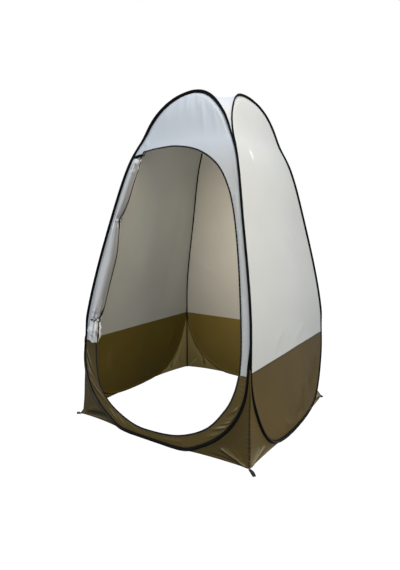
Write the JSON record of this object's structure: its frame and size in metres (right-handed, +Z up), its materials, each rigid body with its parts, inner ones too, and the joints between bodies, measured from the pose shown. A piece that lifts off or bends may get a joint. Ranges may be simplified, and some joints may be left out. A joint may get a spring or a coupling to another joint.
{
  "type": "pop-up shower tent",
  "caption": "Tall bottomless pop-up tent for showering or changing: sprung hoops in dark sleeves, pale upper and brown lower walls, and an arched front doorway with its flap tied back.",
  "frame": {"origin": "middle of the base on the ground", "axes": "+Z up, -Y out of the doorway, +X to the right of someone who faces the doorway"},
  "size_m": [1.2678, 1.244, 1.9076],
  "materials": {
    "sleeve": "black woven sleeve fabric",
    "grey_fabric": "pale grey coated polyester, light wrinkles",
    "brown_fabric": "olive brown coated polyester",
    "roof_fabric": "white coated polyester",
    "zip_tape": "black woven zip tape",
    "webbing": "black webbing",
    "slider_metal": "painted cast slider"
  },
  "bodies": {
    "root": {"front_hoop": "sleeve", "right_hoop": "sleeve", "back_hoop": "sleeve", "left_hoop": "sleeve", "front_upper_panel": "grey_fabric", "front_lower_panel": "brown_fabric", "right_upper_panel": "grey_fabric", "right_lower_panel": "brown_fabric", "back_upper_panel": "grey_fabric", "back_lower_panel": "brown_fabric", "left_upper_panel": "grey_fabric", "left_lower_panel": "brown_fabric", "door_zip_arch": "zip_tape", "door_sill_binding": "zip_tape", "roof_panel": "roof_fabric", "front_right_gusset": "brown_fabric", "front_right_corner_binding": "sleeve", "front_right_peg_loop": "webbing", "back_right_gusset": "brown_fabric", "back_right_corner_binding": "sleeve", "back_right_peg_loop": "webbing", "back_left_gusset": "brown_fabric", "back_left_corner_binding": "sleeve", "back_left_peg_loop": "webbing", "front_left_gusset": "brown_fabric", "front_left_corner_binding": "sleeve", "front_left_peg_loop": "webbing", "rolled_door_flap": "grey_fabric", "upper_door_tie": "roof_fabric", "lower_door_tie": "roof_fabric", "top_strap": "webbing", "upper_zip_slider": "slider_metal", "lower_zip_slider": "slider_metal"}
  },
  "joints": []
}
